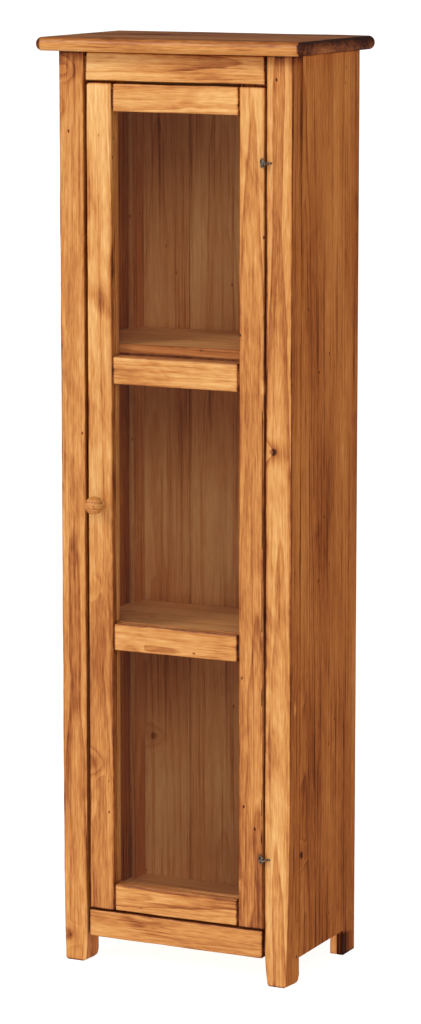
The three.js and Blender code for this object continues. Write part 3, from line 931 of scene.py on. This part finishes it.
def changing(start, end):
    """A depth of stain that changes from the bottom or left end of a board to the other."""
    return lambda share, place: start + (end - start) * (share + 1) / 2


def dark_fronted(depth):
    """The stain of a shelf whose front edge has been darkened by hands."""
    return lambda share, place: depth + SHELF_EDGE_STAIN * (place.y < shelf_front + SHELF_EDGE)


def shade_under_shelves(share, place):
    """Painted shade: deeper on the inner face, just under each shelf and under the top."""
    if place.y > back_middle:
        return 0.0
    below = min(level - place.z for level in ceilings if level > place.z - ON_PLANE)
    return SHELF_SHADE * max(0.0, 1 - below / SHELF_SHADE_REACH) + BACK_PALER


BOARD_STAIN_AND_SHADE = {
    "left_post": steady(0.13),
    "right_post": changing(-0.02, 0.07),
    "door_left_stile": changing(0.20, -0.06),
    "door_right_stile": changing(0.27, 0.01),
    "apron": steady(-0.05),
    "bottom_rail": steady(0.10),
    "door_upper_rail": steady(0.02),
    "door_lower_rail": steady(0.10),
    "door_bottom_rail": steady(0.03),
    "left_side_panel": changing(0.08, 0.0),
    "right_side_panel": changing(0.08, 0.0),
    "upper_shelf": dark_fronted(-0.05),
    "lower_shelf": dark_fronted(-0.10),
    "floor_board": steady(-0.20),
} | {name: shade_under_shelves for name in nodes if name.startswith("back_board")}
print("boards with their own stain:", len(BOARD_STAIN_AND_SHADE))

# %% [markdown]
# Painted shade adds to that where little light reaches: in the gap round the door, with some dirt
# there as well, under the top board's overhang, on the sides of the frame's boards, and on the front
# of the rear feet. Each of these is a place, so each gets a test that asks whether a corner of the
# mesh lies there.

# %% Places where painted shade goes
FACE_DEPTH, FACE_FADE = 0.001, 0.003
# Painted shade on the sides of the frame's boards, behind their faces.
SIDE_SHADE = 0.17
# Painted shade in the gap round the door, with dirt as well.
GAP_SHADE_AND_DIRT, GAP_REACH = 0.27, 0.006
# Painted shadow under the overhang of the top board.
UNDER_TOP_SHADOW, UNDER_TOP_SHADOW_REACH = 0.24, 0.009
# Painted shade on the front of the rear feet, under the cabinet.
FOOT_SHADE = 0.30
FOOT_SHADE_SPAN = (-0.002, 0.012)
OUTER_REACH = 0.012
NEAR_FLOOR = 0.001
FOOT_DEPTH, HIGHEST_ARCH = 0.03, 0.2

door_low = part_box("door_left_stile")[0]
door_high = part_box("door_right_stile")[1]
top_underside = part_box("top_board")[0].z
panel_corners = [vert.co for vert in nodes["right_side_panel"].data.vertices]
foot_front = min(co.y for co in panel_corners if co.z < NEAR_FLOOR and co.y > 0)
arch = [co.z for co in panel_corners if abs(co.y - foot_front) < FOOT_DEPTH and co.z < HIGHEST_ARCH]
arch_top = max(arch)


def behind_face(board, place):
    """0 on the face of a board and 1 behind its rounded edge."""
    return min(1.0, max(0.0, (place.y - board.low.y - FACE_DEPTH) / FACE_FADE))


def on_foot_front(place):
    """True on the front of a rear foot, which gets painted shade."""
    start, end = FOOT_SHADE_SPAN
    return place.z < arch_top and foot_front + start < place.y < foot_front + end


def on_outer_side(board, place):
    """True near the side of a post that faces away from the door, also where a foot narrows."""
    outer = board.high.x if board.high.x > 0 else board.low.x
    return abs(place.x - outer) < OUTER_REACH


def in_door_gap(place):
    """True beside the gap that runs round the door."""
    beside = min(abs(place.x - door_low.x), abs(place.x - door_high.x)) < GAP_REACH
    above = min(abs(place.z - door_low.z), abs(place.z - door_high.z)) < GAP_REACH
    return beside or above


def painted_shadow_under_top(place):
    """How much painted shadow the overhang of the top board casts here."""
    return max(0.0, 1 - (top_underside - place.z) / UNDER_TOP_SHADOW_REACH) * UNDER_TOP_SHADOW


print("rear foot: front at", round(foot_front, 4), "and top of its arch at", round(arch_top, 4))

# %% [markdown]
# ## Saw, plane and finish the boards
#
# Most boards go through the same steps, so one function takes a drawn name and returns the worked
# piece. What differs is kept in small tables: how round the edges are, how far the plane wandered,
# how the stain took, and which boards were sawn beside the pith.
#
# The outer sides of the posts get the sides' finish, with its redder stain and its painted shade.

# %% The steps for one board
WORKING = {
    "pine_front": {"radius": 0.0028, "reach": 0.0012, "across_reach": 0.0024, "step": 0.018},
    "pine_side": {"radius": 0.0016, "reach": 0.0006, "across_reach": 0.0006, "step": 0.04},
    "pine_inside": {"radius": 0.0012, "reach": 0.0005, "across_reach": 0.0005, "step": 0.05},
}
QUARTERED = {"left_side_panel", "right_side_panel"}
DEEPEST_STAIN_AND_SHADE = 0.36
SIDEWAYS = 0.7
BEHIND_ROUNDING = 0.003


def outer_side_stain_and_shade(mesh, board):
    """Gives the outer side of a post the finish of the side panel behind it, with that finish's
    painted shade.
    """
    mesh.materials.append(finishes["pine_side"])
    for face in mesh.polygons:
        sideways = abs(face.normal.x) > SIDEWAYS and face.center.y > board.low.y + BEHIND_ROUNDING
        if sideways and on_outer_side(board, face.center):
            face.material_index = 1


def worked_board(name):
    """A drawn board, worked by hand."""
    board = Board(name)
    working = WORKING[board.slot]
    work = copy_of(name)
    board.keep_body(work)
    if name in SHORT_RAILS:
        SHORT_RAILS[name](work, board)
    soften(work, board, working["radius"])
    slice_up(work, board, working["radius"], working["step"])
    wander(work, board, working["radius"], working["reach"], working["across_reach"])
    if name in WEAR:
        WEAR[name](work, board)
    piece = finished(work, name + "_worked", board.slot, board.body)
    stain = BOARD_STAIN_AND_SHADE.get(name, steady(0.0))
    is_post = name.endswith("_post")

    def stain_and_painted_shade(share, place):
        """The board's own stain, with the painted shade and the dirt at this place."""
        depth = stain(share, place)
        if name in QUARTERED and on_foot_front(place):
            return depth + FOOT_SHADE
        if board.slot != "pine_front":
            return depth
        # Painted shade on the sides, with dirt as well in the door gap, and none on a post's outer
        # side.
        shade_and_dirt_here = GAP_SHADE_AND_DIRT if in_door_gap(place) else SIDE_SHADE
        if is_post and on_outer_side(board, place):
            shade_and_dirt_here = 0.0
        return min(DEEPEST_STAIN_AND_SHADE, depth + shade_and_dirt_here * behind_face(board, place) + painted_shadow_under_top(place))

    place_in_log(piece.data, board, stain_and_painted_shade, quartered=name in QUARTERED)
    if is_post:
        outer_side_stain_and_shade(piece.data, board)
    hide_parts(name)
    return piece


WOODEN = [name for name in nodes if nodes[name].data.materials[0].name.startswith("pine")]
SHAPED_APART = {"knob", "latch_tongue", "latch_peg", "top_board"}
boards = [worked_board(name) for name in WOODEN if name not in SHAPED_APART]
print("boards worked:", len(boards))

# %% [markdown]
# ## The top board
#
# The top is one wide board with a full round edge all the way along, worn down at the corners. It
# starts as a box: first the four upright corners are rounded, then the whole rim above and below,
# and after that it is sliced and planed like the others.

# %% The top board
TOP_CORNER_RADIUS = 0.014
RIM_RADIUS = 0.0125
RIM_STEPS = 6
# The upper face is darker partly from a deeper stain and partly as painted shade.
TOP_FACE_STAIN_AND_SHADE, TOP_FACE_CURVE = 0.22, 3
TOP_END_STAIN, TOP_END_FROM = 0.12, 0.96
TOP_END_BAND = 0.010


def box_between(low, high):
    """A box from one corner to the other."""
    work = bmesh.new()
    bmesh.ops.create_cube(work, size=1)
    bmesh.ops.scale(work, vec=high - low, verts=work.verts)
    bmesh.ops.translate(work, vec=(low + high) / 2, verts=work.verts)
    return work


top = Board("top_board")
work = box_between(top.low, top.high)
upright = [edge for edge in work.edges if abs((edge.verts[0].co - edge.verts[1].co).z) > ON_PLANE]
round_off(work, upright, TOP_CORNER_RADIUS, RIM_STEPS)
rim = [edge for edge in work.edges if edge.calc_face_angle() > CORNER_ANGLE]
round_off(work, rim, RIM_RADIUS, RIM_STEPS)
slice_up(work, top, RIM_RADIUS, step=0.03)
wander(work, top, RIM_RADIUS, reach=0.0014, across_reach=0.0024)
top_piece = finished(work, "top_board_worked", "pine_top", "carcass")


def top_stain_and_shade(share, place):
    """Deep on the upper face, partly as painted shade, and at the ends, and pale along the front
    edge.
    """
    on_top = (place.z - top.low.z) / (top.high.z - top.low.z)
    at_end = TOP_END_STAIN if abs(share) > TOP_END_FROM else 0.0
    return TOP_FACE_STAIN_AND_SHADE * on_top ** TOP_FACE_CURVE + at_end


place_in_log(top_piece.data, top, top_stain_and_shade, end_band=TOP_END_BAND)
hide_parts("top_board")
print("top board:", len(top_piece.data.polygons), "faces")

# %% [markdown]
# ## The panes
#
# Cut glass has a fine ground edge that catches the light, so each pane is a thin box with a small
# bevel all round.

# %% The panes
GROUND_EDGE = 0.0004
PANES = ("glass_lower", "glass_middle", "glass_upper")

for name in PANES:
    low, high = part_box(name)
    work = box_between(low, high)
    round_off(work, work.edges[:], GROUND_EDGE, 2)
    pane = finished(work, name + "_pane", "glass", "door")
    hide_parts(name)
print("panes:", len(PANES))

# %% [markdown]
# ## The knob and the latch
#
# The knob is turned on a lathe: a ball on a short neck, with a small foot against the door and a
# shank that runs through the stile to the latch behind. In Blender a lathe is a half outline spun
# round its axis. The outline's points are the ball's circle and a few steps for the neck and foot.

# %% Turn the knob
BALL_STEPS = 14
LATHE_STEPS = 40
NECK_SHARE = 0.44
KNOB_FOOT_SHARE = 0.61
KNOB_FOOT_LENGTH = 0.003
KNOB_CLEARANCE = 0.0006
SHANK_RADIUS = 0.0058

knob_low, knob_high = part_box("knob")
latch_axis = Vector(joints["latch_turn"]["pos_m"])
ball_radius = (knob_high.x - knob_low.x) / 2
door_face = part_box("door_left_stile")[0].y
neck_radius = NECK_SHARE * ball_radius
foot_radius = KNOB_FOOT_SHARE * ball_radius


def lathe(outline, middle):
    """Spins a half outline, given as (radius, place along y), round an axis along y."""
    work = bmesh.new()
    corners = [work.verts.new((middle.x + radius, y, middle.z)) for radius, y in outline]
    edges = [work.edges.new(pair) for pair in zip(corners, corners[1:])]
    bmesh.ops.spin(
        work,
        geom=corners + edges,
        cent=middle,
        axis=(0, 1, 0),
        angle=math.tau,
        steps=LATHE_STEPS,
        use_merge=True,
    )
    bmesh.ops.remove_doubles(work, verts=work.verts, dist=MERGE_DISTANCE)
    bmesh.ops.recalc_face_normals(work, faces=work.faces)
    return work


ball_middle = knob_low.y + ball_radius
neck_angle = math.pi - math.asin(neck_radius / ball_radius)
outline = []
for i in range(BALL_STEPS + 1):
    angle = neck_angle * i / BALL_STEPS
    outline.append((ball_radius * math.sin(angle), ball_middle - ball_radius * math.cos(angle)))
foot_end = door_face - KNOB_CLEARANCE
foot_start = foot_end - KNOB_FOOT_LENGTH
outline += [
    (neck_radius * 0.96, outline[-1][1] + 0.0012),
    (neck_radius, foot_start - 0.0014),
    (foot_radius * 0.9, foot_start - 0.0002),
    (foot_radius, foot_start + 0.0008),
    (foot_radius, foot_end),
    (SHANK_RADIUS, foot_end),
    (SHANK_RADIUS, knob_high.y),
    (0, knob_high.y),
]
work = lathe(outline, Vector((latch_axis.x, 0, latch_axis.z)))
knob = finished(work, "knob_turned", "pine_front", "latch")
place_in_log(knob.data, Board("knob"), steady(0.13), marked=False)
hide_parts("knob")
print("knob:", len(knob.data.polygons), "faces")

# %% [markdown]
# The tongue turns behind the post and holds the door shut, and its peg locks it on the shank. Both
# are whittled, so a copy of the drawn piece with its long crisp edges eased is all they need.

# %% The latch tongue and its peg
EASED_RADIUS = 0.0006
SHORTEST_EASED = 0.002

for name in ("latch_tongue", "latch_peg"):
    work = copy_of(name)
    closed = [edge for edge in work.edges if edge.is_manifold and edge.is_convex]
    crisp = [edge for edge in closed if edge.calc_face_angle() > CORNER_ANGLE]
    long_edges = [edge for edge in crisp if edge.calc_length() > SHORTEST_EASED]
    round_off(work, long_edges, EASED_RADIUS, 2)
    piece = finished(work, name + "_worked", Board(name).slot, "latch")
    place_in_log(piece.data, Board(name), steady(0.0), marked=False)
    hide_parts(name)
print("latch: tongue and peg")

# %% [markdown]
# ## The hinges
#
# Each hinge is two eye pins of forged wire, one through the other like links of a chain. The
# legs are hammered into the wood and only the eyes show. A ring is a small circle spun round the
# eye's middle, and a leg is a cone. The door's eye was hammered wide, so its section is stretched
# before it is spun. Both are pushed about by a little noise, because nothing made on an anvil is
# perfectly round.

# %% Forge the eye pins
WIRE_RADIUS = 0.0020
POST_EYE_RADIUS = 0.0056
DOOR_EYE_RADIUS = 0.0067
PIN_LENGTH = 0.042
LEG_SPREAD = 0.0015
TIP_LENGTH = 0.010
FLATTENED = 1.6
WIRE_SIDES = 12
EYE_STEPS = 32
DENT_SCALE, DENT_DEPTH = 300, 0.00012
TOWARD_POST, TOWARD_DOOR = math.radians(45), math.radians(135)

hinge_axis = Vector(joints["door_swing"]["pos_m"])


def eye(work, radius, middle, standing):
    """A wire ring round its middle, lying flat or standing up, in a mesh that is still empty."""
    turn = Matrix.Rotation(math.pi / 2, 4, "X")
    made = bmesh.ops.create_circle(work, segments=WIRE_SIDES, radius=WIRE_RADIUS, matrix=turn)
    section = made["verts"]
    if standing:
        bmesh.ops.scale(work, vec=(1, 1, FLATTENED), verts=section)
    bmesh.ops.translate(work, vec=(radius, 0, 0), verts=section)
    bmesh.ops.spin(
        work,
        geom=section + work.edges[:],
        cent=(0, 0, 0),
        axis=(0, 0, 1),
        angle=math.tau,
        steps=EYE_STEPS,
        use_merge=True,
    )
    if standing:
        bmesh.ops.rotate(work, cent=(0, 0, 0), matrix=turn.to_3x3(), verts=work.verts)
    bmesh.ops.translate(work, vec=(middle, 0, 0), verts=work.verts)


def leg(work, start, offset):
    """A wire leg along x that ends in a point."""
    for length, thick, thin, begin in (
        (PIN_LENGTH - TIP_LENGTH - start, WIRE_RADIUS, WIRE_RADIUS, start),
        (TIP_LENGTH, WIRE_RADIUS, WIRE_RADIUS / 3, PIN_LENGTH - TIP_LENGTH),
    ):
        turn = Matrix.Rotation(math.pi / 2, 4, "Y")
        made = bmesh.ops.create_cone(
            work,
            cap_ends=True,
            segments=WIRE_SIDES,
            radius1=thick,
            radius2=thin,
            depth=length,
            matrix=turn,
        )
        place = Vector((begin + length / 2, 0, 0)) + offset
        bmesh.ops.translate(work, vec=place, verts=made["verts"])


def eye_pin(level, side):
    """One pin, made along x and then turned into its post or door. The door's eye stands up,
    and the post's lies flat round the hinge's axis."""
    standing = side == "door"
    radius = DOOR_EYE_RADIUS if standing else POST_EYE_RADIUS
    middle = DOOR_EYE_RADIUS if standing else 0
    work = bmesh.new()
    eye(work, radius, middle, standing)
    bmesh.ops.remove_doubles(work, verts=work.verts, dist=MERGE_DISTANCE)
    bmesh.ops.recalc_face_normals(work, faces=work.faces)
    for sign in (-1, 1):
        spread = sign * LEG_SPREAD
        offset = Vector((0, 0, spread)) if standing else Vector((0, spread, 0))
        leg(work, middle + radius - WIRE_RADIUS / 2, offset)
    for vert in work.verts:
        vert.co += noise.noise_vector(vert.co * DENT_SCALE) * DENT_DEPTH
    turn = Matrix.Rotation(TOWARD_DOOR if standing else TOWARD_POST, 3, "Z")
    low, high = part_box(f"{level}_{side}_pin")
    place = Vector((hinge_axis.x, hinge_axis.y, (low.z + high.z) / 2))
    bmesh.ops.rotate(work, cent=(0, 0, 0), matrix=turn, verts=work.verts)
    bmesh.ops.translate(work, vec=place, verts=work.verts)
    body = "door" if standing else "carcass"
    pin = finished(work, f"{level}_{side}_eye_pin", "iron", body)
    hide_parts(f"{level}_{side}_pin")
    return pin


pins = [eye_pin(level, side) for level in ("upper", "lower") for side in ("post", "door")]
print("eye pins:", len(pins))

# %% [markdown]
# ## Nails in the back
#
# The boards of the back are nailed on from behind, two nails for each board wherever something
# solid lies in front of it. Only the heads show, almost flush, each a little crooked. A head is a
# low cone, and all of them are in one mesh.

# %% The nail heads
NAIL_RADIUS = 0.0024
NAIL_TOP_SHARE = 0.8
NAIL_SIDES = 14
NAIL_HEIGHT = 0.0009
NAIL_SUNK = 0.0007
NAIL_FROM_EDGE = 0.018
NAIL_STRAY = 0.003
NAIL_TILT = 0.04

backs = [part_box(name) for name in nodes if name.startswith("back_board")]
levels = [sum(corner.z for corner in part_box(name)) / 2 for name in nodes if name.endswith("_shelf")]
levels += [backs[0][0].z + NAIL_FROM_EDGE, backs[0][1].z - NAIL_FROM_EDGE]
draw = random.Random("nails")
work = bmesh.new()
for low, high in backs:
    for level in levels:
        for x in (low.x + NAIL_FROM_EDGE, high.x - NAIL_FROM_EDGE):
            angle = -math.pi / 2 + draw.uniform(-NAIL_TILT, NAIL_TILT)
            head = bmesh.ops.create_cone(
                work,
                cap_ends=True,
                segments=NAIL_SIDES,
                radius1=NAIL_RADIUS,
                radius2=NAIL_RADIUS * NAIL_TOP_SHARE,
                depth=NAIL_HEIGHT,
                matrix=Matrix.Rotation(angle, 4, "X"),
            )
            across = x + draw.uniform(-NAIL_STRAY, NAIL_STRAY)
            up = level + draw.uniform(-NAIL_STRAY, NAIL_STRAY)
            place = Vector((across, high.y - NAIL_SUNK, up))
            bmesh.ops.translate(work, vec=place, verts=head["verts"])
heads = finished(work, "back_nail_heads", "steel", "carcass")
print("nail heads:", len(heads.data.polygons), "faces")

# %% [markdown]
# The four screws that hold the top are small and hidden under it, so they keep the drawing's own
# mesh. Only their material is changed.

# %% The screws keep the drawing's shape
for name, node in nodes.items():
    if name.startswith("top_screw"):
        node.data.materials[0] = finishes["steel"]
print("screws finished")

# %% [markdown]
# ## The floor and the light
#
# The room is a pale floor under a white sky. One broad lamp far away to the front left lights the
# front of the cabinet and leaves its right side in half shade, and a weaker and broader one from
# the front right fills in. Sun lamps are used, because they light the floor evenly however far
# that reaches, and their wide angles keep shadows soft.
#
# The floor glows a little, so that it is as white as the sky behind it and the cabinet stands
# free. It isn't seen in mirrors, because it would lie as a haze over the panes. The sky has three
# levels for the same reason: full where it is seen, less as light, and least in mirrors.

# %% The floor and the light
FLOOR_REACH = 60.0
SKY_SEEN = 1.0
SKY_LIGHT = 0.36
SKY_MIRRORED = 0.10
FLOOR_SHADES = [(0, (0.28,) * 3), (1, (0.30,) * 3)]
FLOOR_GLOW = 0.90
LAMP_COLOUR = (1.0, 0.985, 0.96)
LAMPS = {
    "broad_lamp": {"toward": (-0.75, -1.0, 0.85), "strength": 1.35, "angle": 26},
    "fill_lamp": {"toward": (0.5, -1.0, 0.7), "strength": 0.9, "angle": 36},
}

floor_mesh = bpy.data.meshes.new("floor")
work = bmesh.new()
bmesh.ops.create_grid(work, x_segments=1, y_segments=1, size=FLOOR_REACH)
work.to_mesh(floor_mesh)
work.free()
floor = bpy.data.objects.new("floor", floor_mesh)
scene.collection.objects.link(floor)
floor.visible_glossy = False

pale = Finish("pale_floor")
pale_place = pale.node("TexCoord", {}).outputs["Object"]
pale_cloud = pale.noise(pale_place, (3,) * 3, detail=2)
pale_shader = pale.node("BsdfPrincipled", {
    "Base Color": pale.ramp(pale_cloud, FLOOR_SHADES),
    "Roughness": 0.8,
    "Specular IOR Level": 0.1,
    "Emission Color": (1, 1, 1, 1),
    "Emission Strength": FLOOR_GLOW,
})
pale.node("OutputMaterial", {"Surface": pale_shader.outputs["BSDF"]})
floor_mesh.materials.append(pale.material)

for name, facts in LAMPS.items():
    lamp = bpy.data.objects.new(name, bpy.data.lights.new(name, "SUN"))
    lamp.data.energy = facts["strength"]
    lamp.data.angle = math.radians(facts["angle"])
    lamp.data.color = LAMP_COLOUR
    lamp.rotation_euler = Vector(facts["toward"]).to_track_quat("Z", "Y").to_euler()
    scene.collection.objects.link(lamp)

sky = bpy.data.worlds.new("white_sky")
sky.use_nodes = True
scene.world = sky
sky_nodes = sky.node_tree.nodes
sky_links = sky.node_tree.links
sky_ray = sky_nodes.new("ShaderNodeLightPath")
sky_mirror = sky_nodes.new("ShaderNodeMix")
sky_mirror.inputs["A"].default_value = SKY_LIGHT
sky_mirror.inputs["B"].default_value = SKY_MIRRORED
sky_links.new(sky_ray.outputs["Is Glossy Ray"], sky_mirror.inputs["Factor"])
sky_level = sky_nodes.new("ShaderNodeMix")
sky_level.inputs["B"].default_value = SKY_SEEN
sky_links.new(sky_ray.outputs["Is Camera Ray"], sky_level.inputs["Factor"])
sky_links.new(sky_mirror.outputs["Result"], sky_level.inputs["A"])
sky_links.new(sky_level.outputs["Result"], sky_nodes["Background"].inputs["Strength"])
sky_nodes["Background"].inputs["Color"].default_value = (1, 1, 1, 1)

scene.view_settings.view_transform = "Standard"
print("light:", len(LAMPS), "lamps and a white sky")
